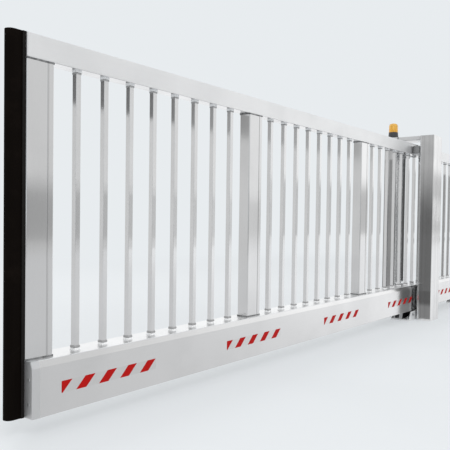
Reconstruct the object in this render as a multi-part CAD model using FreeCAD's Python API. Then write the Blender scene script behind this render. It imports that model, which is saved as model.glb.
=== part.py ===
"""Cantilever sliding driveway gate: an aluminium leaf that rolls on two ground carriages
through a portal of two guide posts.

Millimetres. +X runs along the gate towards its tail, +Y away from the street, +Z up.
The origin lies on the ground under the front roller carriage, midway between the guide posts.
"""
import FreeCAD, Part
import math
import os

Vec = FreeCAD.Vector

# Leaf: heights are measured from the ground
ground_gap = 85.0
bay_count = 4
bars_per_bay = 8
bar_side = 25.0
bar_wall = 2.0
bar_radius = 1.5
bar_clear = 125.0
leaf_post_width = 125.0
leaf_post_depth = 70.0
leaf_post_wall = 4.0
leaf_post_radius = 5.0
groove_width = 3.0
groove_depth = 2.0
groove_from_edge = 28.0
infill_height = 1160.0
rail_height = 95.0
rail_depth = 70.0
rail_wall = 4.0
rail_radius = 4.0
rail_cap_thickness = 5.0

# Bottom beam: a deep extrusion, closed above and open below as a roller channel
beam_width = 160.0
beam_height = 220.0
shoulder_depth = 12.0
shoulder_height = 26.0
beam_radius = 3.0
beam_wall = 6.0
lip_thickness = 10.0
slot_width = 60.0
web_thickness = 8.0
beam_cap_length = 36.0
beam_cap_bevel = 3.0

# Where the closed leaf's leading end stands, from the middle of the portal
closed_reach = 4025.0

# Rubber safety edge on the leading end
edge_width = 50.0
edge_depth = 60.0
edge_skin = 7.0
edge_roof = 8.0
carrier_width = 58.0
carrier_depth = 13.0
carrier_lip = 4.0

# Portal
guide_post_width = 210.0
guide_post_depth = 120.0
guide_post_wall = 6.0
guide_post_radius = 5.0
guide_post_foot = 10.0
guide_groove_width = 8.0
guide_groove_depth = 3.0
guide_groove_from_edge = 18.0
beam_to_post = 25.0
rail_to_head = 29.0
head_width = 180.0
head_height = 36.0
head_wall = 5.0
head_radius = 4.0
post_cap_thickness = 6.0
post_cap_bevel = 2.0

# Beacon on the rear guide post, a little towards the leading end
beacon_setback = 50.0
beacon_offset = 30.0
beacon_foot_radius = 49.0
beacon_foot_height = 8.0
beacon_neck_radius = 45.0
beacon_collar_radius = 41.0
beacon_base_height = 52.0
lens_radius = 39.0
lens_height = 84.0
lens_crown_radius = 24.0
lens_wall = 3.0

# Upper guide rollers, two on each guide post
guide_roller_radius = 33.0
guide_roller_height = 66.0
guide_roller_spread = 170.0
guide_roller_above_rail_foot = 3.0
guide_pin_radius = 8.0
guide_bracket_length = 236.0
guide_bracket_thickness = 6.0
guide_bracket_drop = 15.0
guide_bracket_reveal = 5.5

# Roller carriages
tail_margin = 170.0
base_length = 460.0
base_width = 170.0
base_thickness = 12.0
base_radius = 6.0
flange_thickness = 8.0
flange_top = 78.0
flange_slope = 50.0
bolt_spacing_x = 390.0
bolt_spacing_y = 120.0
bolt_hole_radius = 7.0
saddle_thickness = 30.0
saddle_foot_length = 420.0
saddle_head_length = 350.0
saddle_above_axle = 30.0
gusset_thickness = 12.0
gusset_reach = 40.0
gusset_height = 45.0
gusset_spread = 130.0
roller_radius = 55.0
roller_width = 36.0
roller_bevel = 2.5
roller_dish = 6.0
roller_rim = 12.0
roller_hub_radius = 22.0
roller_spread = 260.0
roller_from_middle = 50.0
collar_radius = 20.0
axle_radius = 12.0

# Fits
roll_gap = 0.3
channel_play = 1.5
pin_fit = 0.15

# Tolerance for picking edges by their place
same_place = 1e-6

# Places that follow from the sizes above
bar_pitch = bar_side + bar_clear
bay_length = bars_per_bay * bar_pitch + bar_clear + leaf_post_width
leaf_length = bay_count * bay_length + leaf_post_width
lead_x = -closed_reach
tail_x = lead_x + leaf_length
rear_carriage_x = tail_x - tail_margin - base_length / 2
beam_bottom = ground_gap
beam_top = beam_bottom + beam_height
rail_bottom = beam_top + infill_height
rail_top = rail_bottom + rail_height
head_bottom = rail_top + rail_to_head
head_top = head_bottom + head_height
guide_post_height = head_top - post_cap_thickness
guide_post_inner = beam_width / 2 + beam_to_post
guide_post_outer = guide_post_inner + guide_post_depth
guide_post_y = (guide_post_inner + guide_post_outer) / 2
lip_top = beam_bottom + lip_thickness
axle_z = lip_top + channel_play + roller_radius
channel_ceiling = axle_z + roller_radius + roll_gap
guide_roller_y = rail_depth / 2 + roll_gap + guide_roller_radius
guide_roller_z = rail_bottom + guide_roller_above_rail_foot


def export(name, *solids):
    """Write one node: a single solid, or several that do not touch."""
    shape = solids[0] if len(solids) == 1 else Part.makeCompound(list(solids))
    if not shape.isValid():
        raise ValueError(name + " is not a valid solid")
    shape.exportStep("parts/" + name + ".step")


def block(x0, x1, y0, y1, z0, z1):
    """A box between two corners."""
    return Part.makeBox(x1 - x0, y1 - y0, z1 - z0, Vec(x0, y0, z0))


def rounded_block(x0, x1, y0, y1, z0, z1, radius):
    """A box whose four upright edges are rounded."""
    shape = block(x0, x1, y0, y1, z0, z1)
    upright = [e for e in shape.Edges if abs(e.BoundBox.ZLength - (z1 - z0)) < same_place]
    return shape.makeFillet(radius, upright)


def turned_along_x(shape):
    """Turn a section drawn in X and Y, and raised along Z, so that it lies in Y and Z along X."""
    return shape.rotated(Vec(0, 0, 0), Vec(1, 1, 1), 120)


def turned_along_y(shape):
    """Turn a section drawn in X and Y, and raised along Z, so that it lies in Z and X along Y."""
    return shape.rotated(Vec(0, 0, 0), Vec(1, 1, 1), 240)


def rounded_outline(points, radius):
    """A closed wire in the XY plane with every corner rounded, or left sharp by a radius of 0."""
    corners = [Vec(x, y, 0) for x, y in points]
    edges = []
    run_start = None
    first = None
    for before, corner, after in zip(corners[-1:] + corners, corners, corners[1:] + corners[:1]):
        back = (before - corner).normalize()
        ahead = (after - corner).normalize()
        half_turn = back.getAngle(ahead) / 2
        enter = corner + back * (radius / math.tan(half_turn))
        leave = corner + ahead * (radius / math.tan(half_turn))
        if run_start is None:
            first = enter
        else:
            edges.append(Part.makeLine(run_start, enter))
        if radius > 0:
            inward = (back + ahead).normalize()
            middle = corner + inward * (radius / math.sin(half_turn) - radius)
            edges.append(Part.Arc(enter, middle, leave).toShape())
        run_start = leave
    edges.append(Part.makeLine(run_start, first))
    return Part.Wire(edges)


def revolved(points, centre):
    """A solid of revolution about a vertical axis, from points of (radius, height)."""
    wire = Part.makePolygon([Vec(r, 0, z) for r, z in points + points[:1]])
    solid = Part.Face(wire).revolve(Vec(0, 0, 0), Vec(0, 0, 1), 360)
    return solid.translated(centre)


def square_tube(x, side, wall, z0, z1):
    """An upright square tube on the leaf's middle plane."""
    outer = rounded_block(x - side / 2, x + side / 2, -side / 2, side / 2, z0, z1, bar_radius)
    bore = side / 2 - wall
    return outer.cut(block(x - bore, x + bore, -bore, bore, z0, z1))


def bay_start(bay):
    """Left face of the leaf post that opens a bay."""
    return lead_x + bay * bay_length


def leaf_post(bay):
    """A wide hollow leaf post with a fine joint line down its front and back."""
    x0 = bay_start(bay)
    x1 = x0 + leaf_post_width
    y1 = leaf_post_depth / 2
    post = rounded_block(x0, x1, -y1, y1, beam_top, rail_bottom, leaf_post_radius)
    w = leaf_post_wall
    post = post.cut(block(x0 + w, x1 - w, w - y1, y1 - w, beam_top, rail_bottom))
    groove_x = x1 - groove_from_edge
    for face in (-y1, y1):
        post = post.cut(block(groove_x - groove_width / 2, groove_x + groove_width / 2,
                              face - groove_depth, face + groove_depth, beam_top, rail_bottom))
    return post


def bars(bay):
    """The square bars that fill one bay."""
    first = bay_start(bay) + leaf_post_width + bar_clear + bar_side / 2
    return [square_tube(first + n * bar_pitch, bar_side, bar_wall, beam_top, rail_bottom)
            for n in range(bars_per_bay)]


def along_leaf(wire, x0, x1, z):
    """Extrude a closed section along the leaf between two stations."""
    return turned_along_x(Part.Face(wire).extrude(Vec(0, 0, x1 - x0))).translated(Vec(x0, 0, z))


def beam_outline(radius, inset):
    """The beam's outer section, with a sloping shoulder each side, drawn in by an inset."""
    half = beam_width / 2
    neck = beam_height - shoulder_height
    crown = half - shoulder_depth
    outline = rounded_outline([(half, 0), (half, neck), (crown, beam_height),
                               (-crown, beam_height), (-half, neck), (-half, 0)], radius)
    return outline.makeOffset2D(-inset) if inset else outline


def bottom_beam(x0, x1):
    """Closed chamber above the web; below it a roller channel, open through a slot between two lips."""
    inner = beam_width / 2 - beam_wall
    slot = slot_width / 2
    beam = along_leaf(beam_outline(beam_radius, 0), x0, x1, beam_bottom)
    hollow = along_leaf(beam_outline(0, beam_wall), x0, x1, beam_bottom)
    chamber = hollow.common(block(x0, x1, -inner, inner, channel_ceiling + web_thickness, beam_top))
    channel = block(x0, x1, -inner, inner, lip_top, channel_ceiling)
    mouth = block(x0, x1, -slot, slot, beam_bottom, lip_top)
    return beam.cut(chamber).cut(channel.fuse(mouth))


def beam_cap(x_outer, x_inner):
    """A cup that closes one end of the beam, bevelled round its outer face."""
    x0, x1 = sorted((x_outer, x_inner))
    cap = along_leaf(beam_outline(0, 0), x0, x1, beam_bottom)
    flat = [e for e in cap.Edges if e.BoundBox.XLength < same_place]
    rim = [e for e in flat if abs(e.BoundBox.XMin - x_outer) < same_place]
    rounded = along_leaf(beam_outline(beam_radius, 0), x0, x1, beam_bottom)
    cap = cap.makeChamfer(beam_cap_bevel, rim).common(rounded)
    floor = x_outer + math.copysign(beam_wall, x_inner - x_outer)
    p0, p1 = sorted((floor, x_inner))
    return cap.cut(along_leaf(beam_outline(0, beam_wall), p0, p1, beam_bottom))


def rail_outline(radius, inset):
    """The top rail's section, from its foot upwards, drawn in by an inset."""
    half = rail_depth / 2 - inset
    return rounded_outline([(half, inset), (half, rail_height - inset),
                            (-half, rail_height - inset), (-half, inset)], radius)


def top_rail(x0, x1):
    """The hollow top rail."""
    rail = along_leaf(rail_outline(rail_radius, 0), x0, x1, rail_bottom)
    return rail.cut(along_leaf(rail_outline(0, rail_wall), x0, x1, rail_bottom))


def safety_edge():
    """A soft round-nosed profile, hollow and open at its foot to drain."""
    nose = edge_width / 2
    x1 = lead_x - carrier_depth + carrier_lip
    x0 = x1 - edge_depth

    def bulb(radius, z0, z1):
        front = x0 + nose
        round_nose = Part.makeCylinder(radius, z1 - z0, Vec(front, 0, z0))
        return round_nose.fuse(block(front, x1 - nose + radius, -radius, radius, z0, z1)).removeSplitter()

    bore = bulb(nose - edge_skin, beam_bottom, rail_top - edge_roof)
    return bulb(nose, beam_bottom, rail_top).cut(bore)


def safety_edge_carrier():
    """A shallow channel on the leading end that grips the rubber's root."""
    half = carrier_width / 2
    root = edge_width / 2 + pin_fit
    carrier = block(lead_x - carrier_depth, lead_x, -half, half, beam_bottom, rail_top)
    seat = lead_x - carrier_depth + carrier_lip
    return carrier.cut(block(lead_x - carrier_depth, seat, -root, root, beam_bottom, rail_top))


def guide_post(side):
    """A guide post with a welded foot and a joint groove down each flank; side is -1 front, 1 rear."""
    half = guide_post_width / 2
    y0, y1 = sorted((side * guide_post_inner, side * guide_post_outer))
    post = rounded_block(-half, half, y0, y1, 0, guide_post_height, guide_post_radius)
    w = guide_post_wall
    post = post.cut(block(w - half, half - w, y0 + w, y1 - w, guide_post_foot, guide_post_height))
    groove_y = side * (guide_post_inner + guide_groove_from_edge)
    for flank in (-half, half):
        post = post.cut(block(flank - guide_groove_depth, flank + guide_groove_depth,
                              groove_y - guide_groove_width / 2, groove_y + guide_groove_width / 2,
                              0, guide_post_height))
    return post


def post_cap(side):
    """A bevelled plate that closes the top of a guide post; side is -1 front, 1 rear."""
    half = guide_post_width / 2
    y0, y1 = sorted((side * guide_post_inner, side * guide_post_outer))
    cap = rounded_block(-half, half, y0, y1, guide_post_height, head_top, guide_post_radius)
    rim = [e for e in cap.Edges if abs(e.BoundBox.ZMin - head_top) < same_place]
    return cap.makeChamfer(post_cap_bevel, rim)


def head_outline(radius, inset):
    """The crossbar's section, as height and X, drawn in by an inset."""
    half = head_width / 2 - inset
    return rounded_outline([(inset, half), (head_height - inset, half),
                            (head_height - inset, -half), (inset, -half)], radius)


def portal_head():
    """A hollow crossbar that joins the guide posts over the leaf."""
    span = Vec(0, 0, 2 * guide_post_inner)
    bar = Part.Face(head_outline(head_radius, 0)).extrude(span)
    bar = bar.cut(Part.Face(head_outline(0, head_wall)).extrude(span))
    return turned_along_y(bar).translated(Vec(0, -guide_post_inner, head_bottom))


def beacon_centre(z):
    """The beacon's axis, over the rear guide post."""
    return Vec(-beacon_offset, guide_post_outer - beacon_setback, z)


def beacon_base():
    """The beacon's tapered housing."""
    return revolved([(0, 0), (beacon_foot_radius, 0), (beacon_foot_radius, beacon_foot_height),
                     (beacon_neck_radius, beacon_foot_height), (beacon_collar_radius, beacon_base_height),
                     (0, beacon_base_height)], beacon_centre(head_top))


def beacon_lens():
    """The beacon's domed lens, a shell open below."""

    def dome(radius, height, crown):
        body = Part.makeCylinder(radius, height)
        rim = [e for e in body.Edges if e.Closed and abs(e.BoundBox.ZMin - height) < same_place]
        return body.makeFillet(crown, rim)

    shell = dome(lens_radius, lens_height, lens_crown_radius)
    hollow = dome(lens_radius - lens_wall, lens_height - lens_wall, lens_crown_radius - lens_wall)
    return shell.cut(hollow).translated(beacon_centre(head_top + beacon_base_height))


def guide_pin_places(side):
    """Centres of the two upper guide rollers on one guide post."""
    reach = guide_roller_spread / 2
    return [Vec(x, side * guide_roller_y, guide_roller_z) for x in (-reach, reach)]


def guide_rollers(side):
    """Two upright rollers that steady the top rail."""
    bore = guide_pin_radius + pin_fit
    tread = guide_roller_radius
    top = guide_roller_height
    section = [(bore, 0), (tread - roller_bevel, 0), (tread, roller_bevel), (tread, top - roller_bevel),
               (tread - roller_bevel, top), (bore, top)]
    return [revolved(section, place) for place in guide_pin_places(side)]


def guide_bracket(side):
    """An angle on the guide post's inner face, with a pin for each roller."""
    half = guide_bracket_length / 2
    shelf_top = guide_roller_z - roll_gap
    shelf_bottom = shelf_top - guide_bracket_thickness
    back = side * guide_post_inner
    flange = side * (guide_post_inner - guide_bracket_thickness)
    edge = side * (rail_depth / 2 + guide_bracket_reveal)
    flange_y = sorted((back, flange))
    shelf_y = sorted((back, edge))
    bracket = block(-half, half, *flange_y, shelf_bottom - guide_bracket_drop, shelf_top)
    bracket = bracket.fuse(block(-half, half, *shelf_y, shelf_bottom, shelf_top))
    for place in guide_pin_places(side):
        foot = Vec(place.x, place.y, shelf_bottom)
        pin_length = place.z + guide_roller_height - foot.z
        bracket = bracket.fuse(Part.makeCylinder(guide_pin_radius, pin_length, foot))
    return bracket.removeSplitter()


def carriage_base(x):
    """A ground plate with a bolt hole at each corner and a sloped flange down each side."""
    half = base_length / 2
    edge = base_width / 2
    plate = rounded_block(x - half, x + half, -edge, edge, 0, base_thickness, base_radius)
    foot = half - base_radius
    for y in (-edge, edge - flange_thickness):
        profile = [Vec(x - foot, y, base_thickness), Vec(x - foot + flange_slope, y, flange_top),
                   Vec(x + foot - flange_slope, y, flange_top), Vec(x + foot, y, base_thickness)]
        flange = Part.Face(Part.makePolygon(profile + profile[:1])).extrude(Vec(0, flange_thickness, 0))
        plate = plate.fuse(flange)
    for dx in (-bolt_spacing_x / 2, bolt_spacing_x / 2):
        for y in (-bolt_spacing_y / 2, bolt_spacing_y / 2):
            plate = plate.cut(Part.makeCylinder(bolt_hole_radius, base_thickness, Vec(x + dx, y, 0)))
    return plate.removeSplitter()


def axle_places(x):
    """Stations of a carriage's two axles."""
    return [x - roller_spread / 2, x + roller_spread / 2]


def across(radius, x, y0, y1):
    """A cylinder across the leaf at axle height."""
    return Part.makeCylinder(radius, y1 - y0, Vec(x, y0, axle_z), Vec(0, 1, 0))


def carriage_saddle(x):
    """The upright that passes through the beam's slot, with gussets at its foot and axle bosses."""
    half = saddle_thickness / 2
    crown = axle_z + saddle_above_axle
    foot = saddle_foot_length / 2
    head = saddle_head_length / 2
    profile = [Vec(x - foot, -half, base_thickness), Vec(x - head, -half, crown),
               Vec(x + head, -half, crown), Vec(x + foot, -half, base_thickness)]
    saddle = Part.Face(Part.makePolygon(profile + profile[:1])).extrude(Vec(0, saddle_thickness, 0))
    for dx in (-gusset_spread / 2, gusset_spread / 2):
        for side in (-1, 1):
            gx = x + dx - gusset_thickness / 2
            toe = side * (half + gusset_reach)
            rib = [Vec(gx, side * half, base_thickness), Vec(gx, toe, base_thickness),
                   Vec(gx, side * half, base_thickness + gusset_height)]
            gusset = Part.Face(Part.makePolygon(rib + rib[:1])).extrude(Vec(gusset_thickness, 0, 0))
            saddle = saddle.fuse(gusset)
    boss = roller_from_middle - roller_width / 2 - roll_gap
    for station in axle_places(x):
        saddle = saddle.fuse(across(collar_radius, station, -boss, boss))
        saddle = saddle.cut(across(axle_radius + pin_fit, station, -boss, boss))
    return saddle.removeSplitter()


def carriage_roller(x, side):
    """A flat-treaded roller with a dished outer face round its hub."""
    w = roller_width
    rim = roller_radius - roller_rim
    bore = axle_radius + pin_fit
    section = [(bore, 0), (roller_radius - roller_bevel, 0), (roller_radius, roller_bevel),
               (roller_radius, w - roller_bevel), (roller_radius - roller_bevel, w), (rim, w),
               (rim - roller_dish, w - roller_dish), (roller_hub_radius + roller_dish, w - roller_dish),
               (roller_hub_radius, w), (bore, w)]
    roller = revolved(section, Vec(0, 0, roller_from_middle - w / 2))
    return roller.rotated(Vec(0, 0, 0), Vec(1, 0, 0), -side * 90).translated(Vec(x, 0, axle_z))


def carriage_rollers(x):
    """Both pairs of rollers of a carriage."""
    return [carriage_roller(station, side) for station in axle_places(x) for side in (-1, 1)]


def carriage_axles(x):
    """Two axles, ending flush with the rollers."""
    reach = roller_from_middle + roller_width / 2
    return [across(axle_radius, station, -reach, reach) for station in axle_places(x)]


os.makedirs("parts", exist_ok=True)

export("front_guide_post", guide_post(-1))
export("rear_guide_post", guide_post(1))
export("portal_head", portal_head())
export("front_post_cap", post_cap(-1))
export("rear_post_cap", post_cap(1))
export("beacon_base", beacon_base())
export("beacon_lens", beacon_lens())
for name, side in (("front", -1), ("rear", 1)):
    export(name + "_guide_bracket", guide_bracket(side))
    export(name + "_guide_rollers", *guide_rollers(side))
for name, x in (("front", 0.0), ("rear", rear_carriage_x)):
    export(name + "_carriage_base", carriage_base(x))
    export(name + "_carriage_saddle", carriage_saddle(x))
    export(name + "_carriage_axles", *carriage_axles(x))
    export(name + "_carriage_rollers", *carriage_rollers(x))

export("bottom_beam", bottom_beam(lead_x + beam_cap_length, tail_x - beam_cap_length))
export("beam_front_cap", beam_cap(lead_x, lead_x + beam_cap_length))
export("beam_rear_cap", beam_cap(tail_x, tail_x - beam_cap_length))
export("top_rail", top_rail(lead_x + rail_cap_thickness, tail_x - rail_cap_thickness))
rail_end = rail_outline(rail_radius, 0)
export("rail_front_cap", along_leaf(rail_end, lead_x, lead_x + rail_cap_thickness, rail_bottom))
export("rail_rear_cap", along_leaf(rail_end, tail_x - rail_cap_thickness, tail_x, rail_bottom))
for bay in range(bay_count + 1):
    export("leaf_post_" + str(bay + 1), leaf_post(bay))
for bay in range(bay_count):
    export("bars_bay_" + str(bay + 1), *bars(bay))
export("safety_edge_carrier", safety_edge_carrier())
export("safety_edge", safety_edge())
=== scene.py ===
"""Looks of a cantilever sliding driveway gate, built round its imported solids.

The leaf and the portal keep their solid pieces and get finishes here. Hazard films, weld beads, seals,
fasteners and the beacon's moulded detail are new pieces. Everything is in metres, in the frame of the solids.
"""
import functools
import logging
import math
from dataclasses import dataclass
from enum import Enum
from typing import Iterable

import bmesh
import bpy
from mathutils import Matrix, Vector


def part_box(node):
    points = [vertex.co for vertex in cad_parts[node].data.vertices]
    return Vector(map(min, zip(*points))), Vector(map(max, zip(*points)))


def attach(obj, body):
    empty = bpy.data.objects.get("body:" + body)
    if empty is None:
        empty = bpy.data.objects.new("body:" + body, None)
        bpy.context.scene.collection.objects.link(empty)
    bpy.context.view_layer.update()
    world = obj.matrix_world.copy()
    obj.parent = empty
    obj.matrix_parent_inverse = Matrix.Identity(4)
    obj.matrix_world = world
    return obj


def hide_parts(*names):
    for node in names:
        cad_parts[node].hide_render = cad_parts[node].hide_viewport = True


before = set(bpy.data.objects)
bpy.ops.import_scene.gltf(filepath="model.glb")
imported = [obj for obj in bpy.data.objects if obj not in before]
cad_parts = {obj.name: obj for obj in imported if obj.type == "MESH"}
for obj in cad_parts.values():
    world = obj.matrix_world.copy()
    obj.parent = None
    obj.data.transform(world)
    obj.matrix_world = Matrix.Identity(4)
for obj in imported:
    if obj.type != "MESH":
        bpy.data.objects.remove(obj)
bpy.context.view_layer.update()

LOG = logging.getLogger("gate")
UP = Vector((0.0, 0.0, 1.0))
SINK = 0.0002
MERGE_WITHIN = 1e-6
DECIMALS = 4
BEAD_STEPS = ((1.0, 0.62), (0.6, 0.88))
COLLAR_STEPS = ((1.0, 0.15), (1.0, 0.7), (0.25, 1.0))
WHITE = (1.0, 1.0, 1.0)
Colour = tuple[float, float, float]
Point = tuple[float, float, float]
Span = tuple[float, float]
Edges = list[bmesh.types.BMEdge]


class Axis(Enum):
    """An axis of the frame."""

    X = 0
    Y = 1
    Z = 2


class Grain(Enum):
    """The direction in which an extrusion was drawn, as the scale of its draw lines."""

    ALONG_X = (1.5, 240.0, 240.0)
    ALONG_Y = (240.0, 1.5, 240.0)
    ALONG_Z = (240.0, 240.0, 1.5)


class Pattern(Enum):
    """A pattern of a finish, as a type of texture node and one of its outputs."""

    NOISE = ("ShaderNodeTexNoise", "Fac")
    CELLS = ("ShaderNodeTexVoronoi", "Color")
    BEADS = ("ShaderNodeTexVoronoi", "Distance")


class Side(Enum):
    """A side of the gate, as the sign of its direction along Y."""

    FRONT = -1
    REAR = 1


class Body(Enum):
    """A body that carries pieces."""

    LEAF = "leaf"
    PORTAL = "portal"


class Slot(Enum):
    """Material slots of the record, passed with new pieces but not read."""

    LEAF_METAL = "leaf_aluminium"
    PORTAL_METAL = "portal_aluminium"
    STEEL = "carriage_steel"
    RUBBER = "edge_rubber"
    HOUSING = "beacon_housing"
    AMBER = "beacon_amber"


# Shader building


class Value:
    """One shader socket; arithmetic on it adds Math nodes to its graph."""

    def __init__(self, graph: "Graph", socket: bpy.types.NodeSocket) -> None:
        """Keep the graph and the socket."""
        self.graph = graph
        self.socket = socket

    def _math(self, operation: str, first: "Operand", second: "Operand") -> "Value":
        """Add one Math node and return its result."""
        return self.graph.node("ShaderNodeMath", {"operation": operation}, {0: first, 1: second})

    def __add__(self, other: "Operand") -> "Value":
        """self + other."""
        return self._math("ADD", self, other)

    def __radd__(self, other: "Operand") -> "Value":
        """other + self."""
        return self._math("ADD", other, self)

    def __sub__(self, other: "Operand") -> "Value":
        """self - other."""
        return self._math("SUBTRACT", self, other)

    def __rsub__(self, other: "Operand") -> "Value":
        """other - self."""
        return self._math("SUBTRACT", other, self)

    def __mul__(self, other: "Operand") -> "Value":
        """self * other."""
        return self._math("MULTIPLY", self, other)

    def __rmul__(self, other: "Operand") -> "Value":
        """other * self."""
        return self._math("MULTIPLY", other, self)

    def below(self, limit: "Operand") -> "Value":
        """1 where this value is under the limit, else 0."""
        return self._math("LESS_THAN", self, limit)

    def fraction(self) -> "Value":
        """The part of this value after its whole number."""
        return self._math("FRACT", self, 0.0)

    def larger(self, other: "Operand") -> "Value":
        """The larger of two values."""
        return self._math("MAXIMUM", self, other)

    def root(self) -> "Value":
        """The square root of this value."""
        return self._math("SQRT", self, 0.0)

    def smooth(self, low: float, high: float) -> "Value":
        """A smooth step from 0 at low to 1 at high."""
        return self.graph.node("ShaderNodeMapRange", {"interpolation_type": "SMOOTHSTEP"},
                               {"Value": self, "From Min": low, "From Max": high})


Operand = Value | float


@dataclass(frozen=True)
class Layer:
    """One pattern of a finish, and how much it adds to the tone, the roughness and the relief.

    It is drawn out along the finish's grain, taken through a smooth ramp and counted from a middle, where
    those are given.
    """

    scale: float
    detail: float = 3.0
    grit: float = 0.55
    pattern: Pattern = Pattern.NOISE
    drawn: bool = False
    ramp: Span | None = None
    middle: float = 0.0
    tone: float = 0.0
    rough: float = 0.0
    height: float = 0.0


@dataclass(frozen=True)
class Relief:
    """How strongly a height bends the light, and how high it counts."""

    strength: float
    distance: float


class Graph:
    """A node tree that is built by expressions."""

    def __init__(self, tree: bpy.types.NodeTree) -> None:
        """Empty a tree and keep it."""
        self.tree = tree
        tree.nodes.clear()

    def add(self, kind: str, settings: dict, inputs: dict) -> bpy.types.Node:
        """Add a node.

        Args:
            kind: the node's type.
            settings: properties, set first.
            inputs: socket names or numbers with the values or links that they take.

        Returns:
            The node.
        """
        made = self.tree.nodes.new(kind)
        for key, setting in settings.items():
            setattr(made, key, setting)
        for key, value in inputs.items():
            if isinstance(value, Value):
                self.tree.links.new(value.socket, made.inputs[key])
            else:
                made.inputs[key].default_value = value
        return made

    def node(self, kind: str, settings: dict | None = None, inputs: dict | None = None,
             output: int | str = 0) -> Value:
        """Add a node and return one of its outputs."""
        return Value(self, self.add(kind, settings or {}, inputs or {}).outputs[output])

    def close(self, kind: str, shader: Value) -> None:
        """Lead a shader to a new output node of the given type."""
        self.add(kind, {}, {"Surface": shader})

    def place(self) -> Value:
        """Object coordinates, which are the gate's own frame."""
        return self.node("ShaderNodeTexCoord", output="Object")

    def axis(self, axis: Axis) -> Value:
        """One of the object coordinates."""
        return self.node("ShaderNodeSeparateXYZ", {}, {0: self.place()}, output=axis.value)

    def layer(self, layer: Layer, grain: Grain) -> Value:
        """Build a layer's pattern on object coordinates.

        Args:
            layer: the layer.
            grain: the direction in which a drawn layer is drawn out.

        Returns:
            The pattern.
        """
        kind, output = layer.pattern.value
        where = self.place()
        if layer.drawn:
            where = self.node("ShaderNodeMapping", {}, {"Vector": where, "Scale": grain.value})
        made = self.node(kind, {}, {"Vector": where, "Scale": layer.scale, "Detail": layer.detail,
                                    "Roughness": layer.grit}, output)
        if layer.pattern is Pattern.CELLS:
            made = self.node("ShaderNodeSeparateColor", {}, {0: made})
        if layer.ramp:
            made = made.smooth(*layer.ramp)
        return made - layer.middle if layer.middle else made

    def blend(self, amount: Operand, first: Value | Colour, second: Value | Colour) -> Value:
        """Mix two colours; an amount of 1 gives the second."""
        low, high = (side if isinstance(side, Value) else (*side, 1.0) for side in (first, second))
        return self.node("ShaderNodeMix", {"data_type": "RGBA"}, {0: amount, 6: low, 7: high}, output=2)

    def bump(self, height: Operand, relief: Relief) -> Value:
        """A normal bent by a height."""
        return self.node("ShaderNodeBump", {}, {"Height": height, "Strength": relief.strength,
                                                "Distance": relief.distance})

    def principled(self, **inputs: Operand) -> Value:
        """A Principled shader; an underscore in a name stands for a space."""
        sockets = {name.replace("_", " "): value for name, value in inputs.items()}
        return self.node("ShaderNodeBsdfPrincipled", {}, sockets)

    def glow(self, colour: Colour, strength: float) -> Value:
        """An emission shader."""
        return self.node("ShaderNodeEmission", {}, {"Color": (*colour, 1.0), "Strength": strength})

    def mix(self, amount: Operand, first: Value, second: Value) -> Value:
        """Mix two shaders; an amount of 1 gives the second."""
        return self.node("ShaderNodeMixShader", {}, {0: amount, 1: first, 2: second})

    def ray(self, kind: str) -> Value:
        """1 for light rays of one kind, else 0."""
        return self.node("ShaderNodeLightPath", output=f"Is {kind} Ray")


# Finishes


@dataclass(frozen=True)
class Finish:
    """A surface finish that makes one material."""

    label: str

    def shade(self, graph: Graph) -> Value:
        """Build the finish's shader in a graph and return it."""
        raise NotImplementedError

    @functools.cache
    def material(self) -> bpy.types.Material:
        """Make the finish's material on first use.

        Returns:
            The material.
        """
        made = bpy.data.materials.new(self.label)
        made.use_nodes = True
        graph = Graph(made.node_tree)
        graph.close("ShaderNodeOutputMaterial", self.shade(graph))
        return made


@dataclass(frozen=True)
class Zone:
    """A part of a surface between two distances from an axis's zero, and what it adds there."""

    axis: Axis
    near: float = 0.0
    far: float = 100.0
    rough: float = 0.0
    mirror: float = 0.0
    colour: Colour | None = None

    def mask(self, graph: Graph) -> Value:
        """1 inside the zone, on both sides of zero, else 0."""
        square = graph.axis(self.axis) * graph.axis(self.axis)
        return square.below(self.far ** 2) - square.below(self.near ** 2)


@dataclass(frozen=True)
class Surface(Finish):
    """A finish that goes from a first colour to a second, by layers of pattern, and changes in zones."""

    first: Colour = WHITE
    second: Colour = WHITE
    roughness: float = 0.5
    mirror: float = 0.0
    specular: float = 0.5
    relief: Relief = Relief(0.1, 0.001)
    grain: Grain = Grain.ALONG_Z
    layers: tuple[Layer, ...] = ()
    zones: tuple[Zone, ...] = ()

    def layered(self, graph: Graph) -> tuple[Operand, Operand, Operand]:
        """Add the layers up.

        Args:
            graph: the material's graph.

        Returns:
            The tone between the two colours, the roughness and the height.
        """
        used = (layer for layer in self.layers if layer.tone or layer.rough or layer.height)
        made = [(layer, graph.layer(layer, self.grain)) for layer in used]
        tone = sum(layer.tone * pattern for layer, pattern in made if layer.tone)
        rough = sum(layer.rough * pattern for layer, pattern in made if layer.rough)
        height = sum(layer.height * pattern for layer, pattern in made if layer.height)
        return tone, self.roughness + rough, height

    def shade(self, graph: Graph) -> Value:
        """Build the layers, and then each zone over them.

        Args:
            graph: the material's graph.

        Returns:
            The shader.
        """
        tone, rough, height = self.layered(graph)
        colour = graph.blend(tone, self.first, self.second)
        mirror: Operand = self.mirror
        for zone in self.zones:
            mask = zone.mask(graph)
            rough = rough + zone.rough * mask
            mirror = mirror + zone.mirror * mask
            if zone.colour:
                colour = graph.blend(mask, colour, zone.colour)
        return graph.principled(Base_Color=colour, Metallic=mirror, Roughness=rough,
                                Specular_IOR_Level=self.specular, Normal=graph.bump(height, self.relief))


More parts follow.
